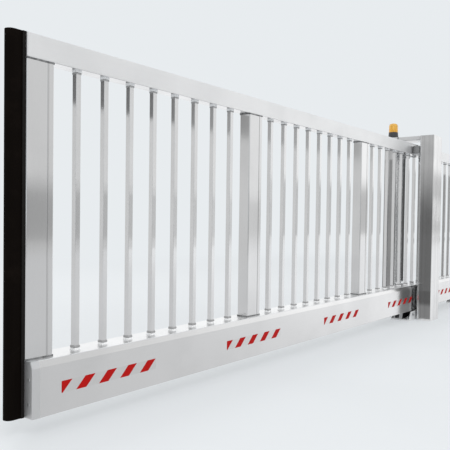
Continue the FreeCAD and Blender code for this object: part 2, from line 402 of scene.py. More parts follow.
def mill_layers(haze: float = 0.045, bands: float = 0.0) -> tuple[Layer, ...]:
    """Lay out the patterns of mill-finished aluminium.

    Args:
        haze: how much rougher its hazy patches are.
        bands: how strongly broad bands along the draw change its tone.

    Returns:
        Draw lines, bands, patches and flecks.
    """
    return (Layer(1.0, drawn=True, tone=0.3, height=0.5),
            Layer(1.0, drawn=True, middle=0.5, rough=0.05),
            Layer(0.2, 2.0, drawn=True, middle=0.5, tone=bands),
            Layer(2.3, 4.0, height=0.8),
            Layer(2.3, 4.0, ramp=(0.38, 0.72), tone=0.7, rough=haze),
            Layer(34.0, 3.0, 0.7, ramp=(0.58, 0.75), rough=0.02))


@dataclass(frozen=True)
class MillAluminium(Surface):
    """Bright mill-finished aluminium with fine draw lines, haze and handling marks."""

    first: Colour = (0.885, 0.89, 0.895)
    second: Colour = (0.80, 0.805, 0.81)
    roughness: float = 0.085
    mirror: float = 1.0
    relief: Relief = Relief(0.05, 0.002)
    layers: tuple[Layer, ...] = mill_layers()


@dataclass(frozen=True)
class ZincSteel(Surface):
    """Zinc-coated steel with a faint spangle and rain marks; a dull coat has less of the metal's mirror."""

    first: Colour = (0.72, 0.73, 0.74)
    second: Colour = (0.50, 0.515, 0.53)
    roughness: float = 0.28
    mirror: float = 1.0
    layers: tuple[Layer, ...] = (Layer(85.0, 0.0, pattern=Pattern.CELLS, tone=0.45, height=0.3),
                                 Layer(14.0, 5.0, tone=0.5, rough=0.2, height=1.0))


@dataclass(frozen=True)
class WeldMetal(Surface):
    """Oxidised bead of a hand weld, rippled and sooty."""

    first: Colour = (0.36, 0.363, 0.367)
    second: Colour = (0.13, 0.13, 0.133)
    roughness: float = 0.45
    mirror: float = 0.7
    relief: Relief = Relief(0.5, 0.001)
    layers: tuple[Layer, ...] = (Layer(60.0, 4.0, ramp=(0.35, 0.7), tone=1.0),
                                 Layer(60.0, 4.0, rough=0.2),
                                 Layer(260.0, 2.0, height=1.0))


@dataclass(frozen=True)
class SoftRubber(Surface):
    """Matt black extruded rubber with long streaks and a dusty bloom."""

    first: Colour = (0.0030, 0.0020, 0.0015)
    second: Colour = (0.0095, 0.0066, 0.0050)
    roughness: float = 0.42
    specular: float = 0.03
    relief: Relief = Relief(0.12, 0.001)
    layers: tuple[Layer, ...] = (Layer(1.0, drawn=True, tone=0.2, height=1.0),
                                 Layer(7.0, 5.0, 0.65, ramp=(0.45, 0.8), tone=0.6),
                                 Layer(7.0, 5.0, 0.65, rough=0.22, height=0.5))


@dataclass(frozen=True)
class GrainedPlastic(Surface):
    """Moulded plastic with a fine spark-eroded grain and slight fading."""

    first: Colour = (0.030, 0.031, 0.034)
    second: Colour = (0.062, 0.063, 0.067)
    roughness: float = 0.45
    relief: Relief = Relief(0.25, 0.0004)
    layers: tuple[Layer, ...] = (Layer(22.0, 4.0, tone=1.0),
                                 Layer(22.0, 4.0, middle=0.5, rough=0.15),
                                 Layer(900.0, 2.0, height=1.0))


@dataclass(frozen=True)
class AmberPlastic(Surface):
    """Clear amber moulding of the beacon's lens, paler towards its crown as a painted highlight."""

    first: Colour = (0.93, 0.47, 0.042)
    second: Colour = (0.96, 0.575, 0.12)
    roughness: float = 0.12
    layers: tuple[Layer, ...] = (Layer(40.0, tone=0.3, rough=0.1),)
    rise: Span = (0.0, 1.0)
    crown_painted_highlight: float = 0.6
    clearness: float = 0.3
    index: float = 1.49
    coat: float = 0.3

    def shade(self, graph: Graph) -> Value:
        """Tinted clear plastic.

        Args:
            graph: the material's graph.

        Returns:
            The shader.
        """
        tone, rough, _ = self.layered(graph)
        # Paler colour higher up the lens: a painted highlight on its crown.
        tone = tone + self.crown_painted_highlight * graph.axis(Axis.Z).smooth(*self.rise)
        return graph.principled(Base_Color=graph.blend(tone, self.first, self.second), Roughness=rough,
                                Transmission_Weight=self.clearness, IOR=self.index, Coat_Weight=self.coat)


@dataclass(frozen=True)
class HazardFilm(Surface):
    """Red and silver hazard stripes at 45 degrees, on a mirror of fine beads.

    They rise towards +X where lean is 1, and towards -X where it is -1.
    """

    first: Colour = (0.885, 0.885, 0.88)
    second: Colour = (0.8142, 0.8142, 0.8096)
    roughness: float = 0.14
    specular: float = 0.06
    relief: Relief = Relief(0.06, 0.0005)
    layers: tuple[Layer, ...] = (Layer(16.0, 4.0, tone=1.0, rough=0.08),
                                 Layer(420.0, 0.0, pattern=Pattern.BEADS, height=1.0))
    red: Colour = (0.37, 0.006, 0.005)
    red_faded: Colour = (0.444, 0.0072, 0.006)
    red_rough: float = 0.25
    red_width: float = 0.0525
    period: float = 0.119
    start: float = 0.0
    foot: float = 0.0
    lean: int = 1

    def shade(self, graph: Graph) -> Value:
        """Glossy red over the silver.

        Args:
            graph: the material's graph.

        Returns:
            The shader.
        """
        along = self.lean * (graph.axis(Axis.X) - self.start) - (graph.axis(Axis.Z) - self.foot)
        mask = (along * (1 / self.period)).fraction().below(self.red_width / self.period)
        fade, rough, height = self.layered(graph)
        silver = graph.blend(fade, self.first, self.second)
        red = graph.blend(fade, self.red, self.red_faded)
        return graph.principled(Base_Color=graph.blend(mask, silver, red), Metallic=1 - mask,
                                Roughness=rough + self.red_rough * mask, Specular_IOR_Level=self.specular,
                                Normal=graph.bump(height, self.relief))


@dataclass(frozen=True)
class Glow(Finish):
    """A studio card that is even, or whose brightness goes from one level to another along an axis."""

    first: float = 1.0
    second: float | None = None
    ramp: Span = (0.0, 1.0)
    along: Axis = Axis.X
    one_sided: bool = False

    def shade(self, graph: Graph) -> Value:
        """Emission; a one-sided card is clear from behind.

        Args:
            graph: the material's graph.

        Returns:
            The shader.
        """
        lit = graph.glow(WHITE, self.first)
        if self.second is not None:
            lit = graph.mix(graph.axis(self.along).smooth(*self.ramp), lit, graph.glow(WHITE, self.second))
        if self.one_sided:
            behind = graph.node("ShaderNodeNewGeometry", output="Backfacing")
            lit = graph.mix(behind, lit, graph.node("ShaderNodeBsdfTransparent"))
        return lit


@dataclass(frozen=True)
class PaleFloor(Finish):
    """A pale floor that takes shadows near the gate and runs out into the background.

    Reflections see a glow instead: brighter to the right in front, with a bright stripe behind, and a painted
    shadow under the leaf by the carriages.
    """

    albedo: Colour = (0.775, 0.80, 0.82)
    background: Colour = (0.807, 0.840, 0.863)
    tint: Colour = (0.985, 0.99, 1.0)
    shadow: float = 0.55
    oval_share: float = 0.5
    oval_shift: float = 0.4
    run_out: Span = (3.0, 9.0)
    front_left: float = 0.60
    front_right: float = 0.88
    front_slant: float = 0.7
    front_ramp: Span = (-4.1, 0.3)
    behind: float = 0.62
    behind_ramp: Span = (-0.4, 0.4)
    stripe: float = 1.08
    stripe_start: Span = (-2.2, -1.2)
    stripe_near: Span = (3.7, 4.4)
    stripe_far: Span = (5.4, 6.1)
    # Level of the dark glow under the leaf near the carriages: a painted shadow that only reflections see.
    painted_leaf_shadow: float = 0.04
    painted_leaf_shadow_start: Span = (-0.7, -0.5)
    painted_leaf_shadow_edge: Span = (0.07, 0.13)

    def shade(self, graph: Graph) -> Value:
        """Matt floor for the camera, and zones of glow for reflections.

        Args:
            graph: the material's graph.

        Returns:
            The shader.
        """
        x, y = graph.axis(Axis.X), graph.axis(Axis.Y)
        along = self.oval_share * x + self.oval_shift
        away = (along * along + y * y).root().smooth(*self.run_out)
        matt = graph.node("ShaderNodeBsdfDiffuse", {}, {"Color": (*self.albedo, 1.0)})
        seen = graph.mix(1 - self.shadow * (1 - away), matt, graph.glow(self.background, 1.0))
        levels = (self.front_left, self.front_right, self.behind, self.stripe, self.painted_leaf_shadow)
        left, right, behind, stripe, dark = (graph.glow(self.tint, level) for level in levels)
        front = graph.mix((x + self.front_slant * y).smooth(*self.front_ramp), left, right)
        inside = y.smooth(*self.stripe_near) * (1 - y.smooth(*self.stripe_far))
        striped = x.smooth(*self.stripe_start) * inside
        zones = graph.mix(y.smooth(*self.behind_ramp), front, graph.mix(striped, behind, stripe))
        # A dark glow under the leaf by the carriages: a painted shadow in what reflections see of the floor.
        near, far = self.painted_leaf_shadow_edge
        under = x.smooth(*self.painted_leaf_shadow_start) * y.smooth(-far, -near) * (1 - y.smooth(near, far))
        return graph.mix(graph.ray("Glossy"), seen, graph.mix(under, zones, dark))


# Mesh building


def edges_at(corners: Iterable[bmesh.types.BMVert]) -> Edges:
    """The edges at some corners, each once, in an order that every run repeats."""
    return list(dict.fromkeys(edge for corner in corners for edge in corner.link_edges))


class Shape:
    """A bmesh that grows by operators and becomes one object."""

    corner_segments: int = 3
    rim_segments: int = 2

    def __init__(self) -> None:
        """Start empty."""
        self.bm = bmesh.new()

    def round_off(self, edges: Edges, width: float, segments: int) -> None:
        """Round edges off."""
        bmesh.ops.bevel(self.bm, geom=edges, offset=width, segments=segments, profile=0.5, affect="EDGES",
                        material=-1)

    def plate(self, low: Vector, high: Vector, corner: float, across: Axis) -> None:
        """Add a plate whose four corners are rounded.

        Args:
            low: lowest corner.
            high: highest corner.
            corner: radius of the rounded corners.
            across: the axis along which the rounded edges run.
        """
        size = high - low
        matrix = Matrix.Translation((low + high) / 2) @ Matrix.Diagonal((*size, 1.0))
        made = bmesh.ops.create_cube(self.bm, size=1.0, matrix=matrix)
        reach = size[across.value] / 2
        chosen = [e for e in edges_at(made["verts"])
                  if abs((e.verts[0].co - e.verts[1].co)[across.value]) > reach]
        self.round_off(chosen, corner, self.corner_segments)

    def drum(self, foot: Vector, axis: Vector, radius: float, length: float, sides: int, bevel: float = 0.0,
             top_radius: float | None = None) -> None:
        """Add a round or many-sided drum.

        Args:
            foot: centre of its lower face.
            axis: direction from the lower face to the upper.
            radius: radius to its corners.
            length: height along the axis.
            sides: number of sides.
            bevel: width of a bevel round its upper rim.
            top_radius: radius of the upper face, where it tapers.
        """
        turn = UP.rotation_difference(axis).to_matrix().to_4x4()
        matrix = Matrix.Translation(foot + axis * (length / 2)) @ turn
        # After a bevel, the next caps would start at another corner in each run, so a drum starts a new mesh
        drum = Shape()
        made = bmesh.ops.create_cone(drum.bm, cap_ends=True, segments=sides, radius1=radius,
                                     radius2=radius if top_radius is None else top_radius, depth=length,
                                     matrix=matrix)
        if bevel:
            top = [v for v in made["verts"] if (v.co - foot).dot(axis) > length / 2]
            rim = [e for e in edges_at(top) if set(top).issuperset(e.verts)]
            drum.round_off(rim, bevel, self.rim_segments)
        self.join(drum)

    def join(self, other: "Shape") -> None:
        """Take over another shape's mesh."""
        mesh = bpy.data.meshes.new("joined")
        other.bm.to_mesh(mesh)
        other.bm.free()
        self.bm.from_mesh(mesh)
        bpy.data.meshes.remove(mesh)

    def skin(self, place: Matrix, half: Span, profile: Iterable[Span]) -> None:
        """Bridge rectangles round a bar, each a circle of four segments that is turned and stretched.

        Args:
            place: the middle of the bar's end, with Z along the bar.
            half: half the bar's size along its own X and Y.
            profile: how far each rectangle stands out of the bar, and where along Z it lies.
        """
        turn = Matrix.Rotation(math.pi / 4, 4, "Z")
        before: Edges = []
        for out, up in profile:
            stretch = Matrix.Diagonal((half[0] + out, half[1] + out, 1.0, 1.0))
            made = bmesh.ops.create_circle(self.bm, cap_ends=False, radius=math.sqrt(2), segments=4,
                                           matrix=place @ Matrix.Translation((0, 0, up)) @ stretch @ turn)
            edges = edges_at(made["verts"])
            if before:
                bmesh.ops.bridge_loops(self.bm, edges=before + edges)
            before = edges

    def finished(self, name: str, finish: Finish) -> bpy.types.Object:
        """Make the mesh an object at the origin.

        Args:
            name: the object's name.
            finish: its surface.

        Returns:
            The object.
        """
        mesh = bpy.data.meshes.new(name)
        self.bm.to_mesh(mesh)
        self.bm.free()
        mesh.materials.append(finish.material())
        made = bpy.data.objects.new(name, mesh)
        bpy.context.scene.collection.objects.link(made)
        return made

    def piece(self, name: str, finish: Finish, body: Body, slot: Slot,
              smooth_below: float = 35.0) -> bpy.types.Object:
        """Close the mesh and make it a piece of the gate.

        Args:
            name: the piece's name.
            finish: its surface.
            body: the body that carries it.
            slot: the record's slot for the piece; not used.
            smooth_below: edges that turn less than this many degrees shade smooth.

        Returns:
            The piece's object.
        """
        bmesh.ops.remove_doubles(self.bm, verts=self.bm.verts, dist=MERGE_WITHIN)
        bmesh.ops.recalc_face_normals(self.bm, faces=self.bm.faces)
        for edge in self.bm.edges:
            edge.smooth = edge.calc_face_angle(0.0) < math.radians(smooth_below)
        for face in self.bm.faces:
            face.smooth = True
        made = self.finished(name, finish)
        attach(made, body.value)
        LOG.info("%s: %d faces on %s", name, len(made.data.polygons), body.value)
        return made


@dataclass(frozen=True)
class HexFastener:
    """A hexagon head or nut, on a washer and with a stud out of it where those have a size.

    The washer's thickness is a share of its radius, and its bevel a share of its thickness. The other shares
    are of the size across the flats.
    """

    across: float
    height: float
    washer_radius: float = 0.0
    stud_length: float = 0.0
    washer_thickness: float = 0.16
    washer_bevel: float = 0.25
    washer_sides: int = 24
    head_bevel: float = 0.08
    head_sides: int = 6
    stud_radius: float = 0.29
    stud_bevel: float = 0.06
    stud_sides: int = 16

    def add(self, shape: Shape, foot: Vector, axis: Vector) -> None:
        """Add the fastener to a shape.

        Args:
            shape: the shape.
            foot: centre of the fastener's seat.
            axis: direction away from the seat.
        """
        thick = self.washer_thickness * self.washer_radius
        if self.washer_radius:
            shape.drum(foot, axis, self.washer_radius, thick, self.washer_sides, self.washer_bevel * thick)
        seat = foot + axis * thick
        corner = self.across / math.sqrt(3)
        shape.drum(seat, axis, corner, self.height, self.head_sides, self.head_bevel * self.across)
        if self.stud_length:
            shape.drum(seat + axis * self.height, axis, self.stud_radius * self.across, self.stud_length,
                       self.stud_sides, self.stud_bevel * self.across)


def dress(names: Iterable[str], finish: Finish) -> None:
    """Give solid pieces a finish.

    Args:
        names: the solid pieces.
        finish: their surface.
    """
    for name in names:
        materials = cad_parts[name].data.materials
        materials.clear()
        materials.append(finish.material())
        LOG.info("%s: %s", name, finish.label)


def numbered(stem: str) -> list[str]:
    """The solid pieces that share a name's stem, in order."""
    return sorted(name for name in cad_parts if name.startswith(stem))


def placed(x: float, y: float, z: float, turn: float = 0.0) -> Matrix:
    """A place whose Z points up, turned about X."""
    return Matrix.Translation((x, y, z)) @ Matrix.Rotation(turn, 4, "X")


def bead(reach: float, rise: float) -> list[Span]:
    """The profile of a weld bead, by how far it stands out and how far it rises from its face."""
    return [(reach, -SINK), *((out * reach, up * rise) for out, up in BEAD_STEPS), (-SINK, rise)]


def collar(reach: float, start: float, end: float) -> list[Span]:
    """The profile of a ring that tapers, by how far it stands out and where along the bar it lies."""
    wall = ((out * reach, start + up * (end - start)) for out, up in COLLAR_STEPS)
    return [(-SINK, start), *wall, (-SINK, end)]


# The gate's sub-assemblies


@dataclass
class Leaf:
    """The sliding leaf: beam, rail, posts, bars, their welds, rings and strips."""

    beam_light: Colour = (0.92, 0.922, 0.925)
    beam_dull: Colour = (0.84, 0.843, 0.846)
    ledge_depth: float = 0.001
    underside: float = 0.001
    bar_break: float = 1.5
    foot_ferrule: Span = (0.0022, 0.0075)
    head_ferrule: Span = (0.0018, 0.0065)
    foot_ring: Span = (0.0022, 0.0185)
    head_ring: Span = (0.0012, 0.0150)
    white_dark: Colour = (0.84, 0.845, 0.85)
    white_light: Colour = (0.90, 0.905, 0.91)
    ring_dark: Colour = (0.29, 0.29, 0.292)
    ring_light: Colour = (0.42, 0.42, 0.423)
    post_bead: Span = (0.0012, 0.007)
    # Darker than the post: painted shade of the groove under the strip.
    strip_shade_light: Colour = (0.70, 0.703, 0.707)
    strip_shade_dull: Colour = (0.62, 0.623, 0.627)
    strip_width: float = 0.008
    strip_corner: float = 0.0008
    strip_from_edge: float = 0.028
    strip_rise: float = 0.0007
    strip_sink: float = 0.0003
    screw_radius: float = 0.006
    screw_rise: float = 0.0015
    screw_bevel: float = 0.0006
    screw_sides: int = 20
    screw_inset: float = 0.024
    screw_heights: Span = (0.055, 0.150)

    def build(self) -> None:
        """Dress the solids and add ferrules, rings, welds, strips and screws."""
        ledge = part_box("bottom_beam")[1].z - self.ledge_depth
        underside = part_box("top_rail")[0].z + self.underside
        dusty = Zone(Axis.Z, near=ledge, rough=0.15, mirror=-0.15)
        sheltered = Zone(Axis.Z, far=underside, rough=-0.22, mirror=0.25)
        dress(["bottom_beam"], MillAluminium("beam_metal", self.beam_light, self.beam_dull, roughness=0.14,
                                             grain=Grain.ALONG_X, zones=(dusty,)))
        dress(["top_rail"], MillAluminium("rail_metal", roughness=0.34, mirror=0.75, grain=Grain.ALONG_X,
                                          zones=(sheltered,)))
        dress(["beam_front_cap", "beam_rear_cap", "rail_front_cap", "rail_rear_cap"],
              MillAluminium("leaf_cap_metal", roughness=0.5, grain=Grain.ALONG_Y))
        dress(numbered("leaf_post_"), MillAluminium("leaf_post_metal"))
        dress(numbered("bars_bay_"), MillAluminium("bar_metal", roughness=0.05, mirror=0.9,
                                                   layers=mill_layers(haze=0.025)))
        self.seat_bars()
        self.weld_posts()
        self.cover_grooves()
        self.screw_caps()

    def bar_stations(self, node: str) -> list[float]:
        """Find the bars of a bay, which stand more than bar_break of their own width apart.

        Args:
            node: the bay's solid piece.

        Returns:
            The middle of each bar along X.
        """
        low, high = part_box(node)
        side = high.y - low.y
        columns = sorted({round(v.co.x, DECIMALS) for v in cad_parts[node].data.vertices})
        pairs = zip([-math.inf] + columns, columns)
        return [x + side / 2 for before, x in pairs if x - before > self.bar_break * side]

    def seat_bars(self) -> None:
        """A white ferrule and a grey seal ring at the foot and the head of every bar."""
        ferrules, rings = Shape(), Shape()
        for node in numbered("bars_bay_"):
            low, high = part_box(node)
            half = ((high.y - low.y) / 2,) * 2
            for x in self.bar_stations(node):
                foot, head = placed(x, 0.0, low.z), placed(x, 0.0, high.z, math.pi)
                for place, ferrule, ring in ((foot, self.foot_ferrule, self.foot_ring),
                                             (head, self.head_ferrule, self.head_ring)):
                    ferrules.skin(place, half, bead(*ferrule))
                    rings.skin(place, half, collar(ring[0], ferrule[1], ring[1]))
        white = GrainedPlastic("ferrule_nylon", self.white_dark, self.white_light)
        grey = GrainedPlastic("ring_plastic", self.ring_dark, self.ring_light)
        ferrules.piece("bar_ferrules", white, Body.LEAF, Slot.RUBBER)
        rings.piece("bar_seal_rings", grey, Body.LEAF, Slot.RUBBER)

    def weld_posts(self) -> None:
        """A bead round the foot and the head of every leaf post."""
        shape = Shape()
        for node in numbered("leaf_post_"):
            low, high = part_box(node)
            x = (low.x + high.x) / 2
            half = ((high.x - low.x) / 2, (high.y - low.y) / 2)
            for place in (placed(x, 0.0, low.z), placed(x, 0.0, high.z, math.pi)):
                shape.skin(place, half, bead(*self.post_bead))
        shape.piece("post_welds", WeldMetal("post_weld_metal"), Body.LEAF, Slot.LEAF_METAL)

    def cover_grooves(self) -> None:
        """A grey cover strip over the groove down each face of every leaf post; its darker grey is painted
        shade of the groove.
        """
        shape = Shape()
        for node in numbered("leaf_post_"):
            low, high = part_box(node)
            x = high.x - self.strip_from_edge
            foot, head = low.z + self.post_bead[1], high.z - self.post_bead[1]
            for side, face in ((Side.FRONT, low.y), (Side.REAR, high.y)):
                near, far = sorted((face + side.value * self.strip_rise, face - side.value * self.strip_sink))
                shape.plate(Vector((x - self.strip_width / 2, near, foot)),
                            Vector((x + self.strip_width / 2, far, head)), self.strip_corner, Axis.Z)
        # The strip is darker than the post: painted shade standing in for the shade in the groove that it
        # covers.
        strip = MillAluminium("cover_strip_groove_shade", self.strip_shade_light, self.strip_shade_dull)
        shape.piece("post_cover_strips", strip, Body.LEAF, Slot.LEAF_METAL)

    def screw_caps(self) -> None:
        """Low-headed screws in both beam caps."""
        shape = Shape()
        for node, outward in (("beam_front_cap", -1), ("beam_rear_cap", 1)):
            low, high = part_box(node)
            x = low.x if outward < 0 else high.x
            for y in (low.y + self.screw_inset, high.y - self.screw_inset):
                for up in self.screw_heights:
                    shape.drum(Vector((x, y, low.z + up)), Vector((outward, 0, 0)), self.screw_radius,
                               self.screw_rise, self.screw_sides, self.screw_bevel)
        shape.piece("cap_screws", ZincSteel("cap_screw_zinc"), Body.LEAF, Slot.LEAF_METAL)


@dataclass
class HazardTape:
    """Strips of striped film along both faces of the beam."""

    start: float = 0.135
    length: float = 0.531
    height: float = 0.048
    centre_up: float = 0.100
    period: float = 0.119
    periods_apart: int = 9
    count: int = 5
    thickness: float = 0.0004
    corner: float = 0.003

    def build(self) -> None:
        """Lay the strips on the front and the back."""
        for side in Side:
            self.strips(side)

    def strips(self, side: Side) -> None:
        """Lay one face's strips.

        Args:
            side: the face.
        """
        name = f"hazard_tape_{side.name.lower()}"
        low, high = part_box("bottom_beam")
        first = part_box("beam_front_cap")[0].x + self.start
        face = low.y if side is Side.FRONT else high.y
        near, far = sorted((face, face + side.value * self.thickness))
        foot = low.z + self.centre_up - self.height / 2
        shape = Shape()
        for n in range(self.count):
            x = first + n * self.periods_apart * self.period
            shape.plate(Vector((x, near, foot)), Vector((x + self.length, far, foot + self.height)),
                        self.corner, Axis.Y)
        phase = first - self.height if side is Side.FRONT else first + self.length
        film = HazardFilm(f"{name}_film", period=self.period, start=phase, foot=foot, lean=-side.value)
        shape.piece(name, film, Body.LEAF, Slot.LEAF_METAL)


@dataclass
class SafetyEdge:
    """The rubber edge and its carrier on the leading end."""

    carrier_dark: Colour = (0.006, 0.0055, 0.005)
    carrier_light: Colour = (0.014, 0.0125, 0.0115)
    carrier_specular: float = 0.08

    def build(self) -> None:
        """Dress the rubber and its carrier."""
        dress(["safety_edge"], SoftRubber("edge_rubber"))
        dress(["safety_edge_carrier"], GrainedPlastic("carrier_black_anodising", self.carrier_dark,
                                                      self.carrier_light, specular=self.carrier_specular))


@dataclass
class Beacon:
    """The flashing beacon on the rear guide post."""

    flutes: int = 36
    flute_depth: float = 0.03
    rings: int = 7
    crown_share: float = 0.62
    smooth_below: float = 50.0
    reflector_share: float = 0.62
    reflector_sides: int = 32
    cone_share: float = 0.3
    cone_top: float = 0.35
    bulb_share: float = 0.3
    bulb_bevel: float = 0.2
    bulb_sides: int = 24
    gasket_rise: float = 0.003
    gasket_reach: float = 0.0025
    gasket_bevel: float = 0.0009
    gasket_sides: int = 48

    def build(self) -> None:
        """Replace the plain lens by a fluted one with a reflector inside, and dress the housing."""
        dress(["beacon_base"], GrainedPlastic("beacon_plastic"))
        self.lens()
        self.reflector()
        self.gasket()

    @staticmethod
    def seat() -> tuple[Vector, float, float]:
        """Measure the plain lens.

        Returns:
            The middle of its foot, its radius and its height.
        """
        low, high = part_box("beacon_lens")
        foot = Vector(((low.x + high.x) / 2, (low.y + high.y) / 2, low.z))
        return foot, (high.x - low.x) / 2, high.z - low.z

    def lens(self) -> None:
        """A fluted barrel that closes in a smooth dome."""
        foot, radius, height = self.seat()
        crown = self.crown_share * radius
        inner = radius - crown
        shape = Shape()
        ring = bmesh.ops.create_circle(shape.bm, cap_ends=False, radius=radius, segments=2 * self.flutes,
                                       matrix=Matrix.Translation(foot))["verts"]
        about = Matrix.Translation((-foot.x, -foot.y, 0))
        shrink = 1 - self.flute_depth
        bmesh.ops.scale(shape.bm, verts=ring[1::2], vec=(shrink, shrink, 1.0), space=about)
        edges = self.raise_ring(shape.bm, edges_at(ring), height - crown, 1.0, about)
        turns = [step / self.rings * math.pi / 2 for step in range(self.rings)]
        for before, turn in zip(turns, turns[1:]):
            rise = crown * (math.sin(turn) - math.sin(before))
            share = (inner + crown * math.cos(turn)) / (inner + crown * math.cos(before))
            edges = self.raise_ring(shape.bm, edges, rise, share, about)
        bmesh.ops.contextual_create(shape.bm, geom=edges)
        # Extruded faces come in another order in each run, so they are sorted by their middles
        for place, face in enumerate(sorted(shape.bm.faces, key=lambda f: f.calc_center_median()[:])):
            face.index = place
        shape.bm.faces.sort()
        amber = AmberPlastic("beacon_amber", rise=(foot.z, foot.z + height))
        lens = shape.piece("beacon_lens_fluted", amber, Body.PORTAL, Slot.AMBER, self.smooth_below)
        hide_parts("beacon_lens")

    @staticmethod
    def raise_ring(bm: bmesh.types.BMesh, edges: Edges, rise: float, share: float, about: Matrix) -> Edges:
        """Extrude a ring of edges upwards and draw it in.

        Args:
            bm: the mesh.
            edges: the ring.
            rise: how far it goes up.
            share: its new size, as a share of the old.
            about: the space whose axis it closes on.

        Returns:
            The new ring's edges.
        """
        made = bmesh.ops.extrude_edge_only(bm, edges=edges)["geom"]
        verts = [part for part in made if isinstance(part, bmesh.types.BMVert)]
        bmesh.ops.translate(bm, verts=verts, vec=(0, 0, rise))
        bmesh.ops.scale(bm, verts=verts, vec=(share, share, 1.0), space=about)
        sides = (part for part in made if isinstance(part, bmesh.types.BMEdge))
        return [side for side in sides if set(verts).issuperset(side.verts)]

    def reflector(self) -> None:
        """A bright cone with a bulb, seen through the lens."""
        foot, lens_radius, height = self.seat()
        radius = self.reflector_share * lens_radius
        cone = self.cone_share * height
        shape = Shape()
        shape.drum(foot, UP, radius, cone, self.reflector_sides, top_radius=self.cone_top * radius)
        shape.drum(foot + UP * cone, UP, self.bulb_share * radius, cone, self.bulb_sides,
                   self.bulb_bevel * radius)
        metal = MillAluminium("reflector_metal", roughness=0.1)
        shape.piece("beacon_reflector", metal, Body.PORTAL, Slot.STEEL)

    def gasket(self) -> None:
        """A clamping ring where the lens meets the housing."""
        foot, radius, _ = self.seat()
        shape = Shape()
        shape.drum(foot - UP * self.gasket_rise, UP, radius + self.gasket_reach, 2 * self.gasket_rise,
                   self.gasket_sides, self.gasket_bevel)
        plastic = GrainedPlastic("clamp_ring_plastic", roughness=0.35)
        shape.piece("beacon_clamp_ring", plastic, Body.PORTAL, Slot.HOUSING)


@dataclass
class Portal:
    """The two guide posts, the crossbar between them and the upper guides."""

    post_light: Colour = (0.915, 0.92, 0.925)
    post_dull: Colour = (0.70, 0.705, 0.71)
    matt_edge: Span = (0.0005, 0.014)
    crossbar_light: Colour = (0.72, 0.723, 0.727)
    crossbar_dull: Colour = (0.65, 0.653, 0.657)
    underside: float = 0.001
    crossbar_bead: Span = (0.002, 0.004)
    nylon_dark: Colour = (0.17, 0.172, 0.175)
    nylon_light: Colour = (0.25, 0.252, 0.256)
    pin_nut: HexFastener = HexFastener(across=0.019, height=0.008, washer_radius=0.0114)
    flange_bolt: HexFastener = HexFastener(across=0.010, height=0.005)
    flange_bolt_shares: tuple[float, ...] = (0.2, 0.5, 0.8)
    flange_bolt_up: float = 0.0075
    flange_thickness: float = 0.006

    def build(self) -> None:
        """Dress the posts, crossbar, caps, brackets and rollers, and add welds, bolts and locknuts."""
        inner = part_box("rear_guide_post")[0].y
        matt = Zone(Axis.Y, *(inner + reach for reach in self.matt_edge), mirror=-0.22)
        dress(["front_guide_post", "rear_guide_post"],
              MillAluminium("guide_post_metal", self.post_light, self.post_dull, roughness=0.12,
                            layers=mill_layers(haze=0.05, bands=1.8), zones=(matt,)))
        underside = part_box("portal_head")[0].z + self.underside
        sheltered = Zone(Axis.Z, far=underside, rough=-0.2, mirror=0.5)
        dress(["portal_head"], MillAluminium("crossbar_metal", self.crossbar_light, self.crossbar_dull,
                                             roughness=0.3, mirror=0.5, grain=Grain.ALONG_Y,
                                             zones=(sheltered,)))
        dress(["front_post_cap", "rear_post_cap"],
              MillAluminium("post_cap_metal", roughness=0.2, grain=Grain.ALONG_X))
        dress(["front_guide_bracket", "rear_guide_bracket"], ZincSteel("guide_bracket_zinc"))
        dress(["front_guide_rollers", "rear_guide_rollers"],
              GrainedPlastic("guide_roller_nylon", self.nylon_dark, self.nylon_light))
        self.weld_crossbar()
        for side in Side:
            self.fasten_bracket(side)

    def weld_crossbar(self) -> None:
        """A bead round each end of the crossbar, on the guide post's inner face."""
        low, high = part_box("portal_head")
        half = ((high.x - low.x) / 2, (high.z - low.z) / 2)
        shape = Shape()
        for y, turn in ((low.y, -math.pi / 2), (high.y, math.pi / 2)):
            place = placed((low.x + high.x) / 2, y, (low.z + high.z) / 2, turn)
            shape.skin(place, half, bead(*self.crossbar_bead))
        shape.piece("crossbar_welds", WeldMetal("crossbar_weld_metal"), Body.PORTAL, Slot.PORTAL_METAL)

    def fasten_bracket(self, side: Side) -> None:
        """Put bolts through a bracket's flange and a locknut on each roller pin.

        Args:
            side: the guide post's side of the gate.
        """
        name = side.name.lower()
        low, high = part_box(f"{name}_guide_bracket")
        r_low, r_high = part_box(f"{name}_guide_rollers")
        radius = (r_high.y - r_low.y) / 2
        shape = Shape()
        for x in (r_low.x + radius, r_high.x - radius):
            self.pin_nut.add(shape, Vector((x, (r_low.y + r_high.y) / 2, high.z)), UP)
        flange = (low.y if side is Side.FRONT else high.y) - side.value * self.flange_thickness
        for share in self.flange_bolt_shares:
            foot = Vector((low.x + share * (high.x - low.x), flange, low.z + self.flange_bolt_up))
            self.flange_bolt.add(shape, foot, Vector((0, -side.value, 0)))
        shape.piece(f"{name}_guide_fasteners", ZincSteel("guide_fastener_zinc"), Body.PORTAL, Slot.STEEL)


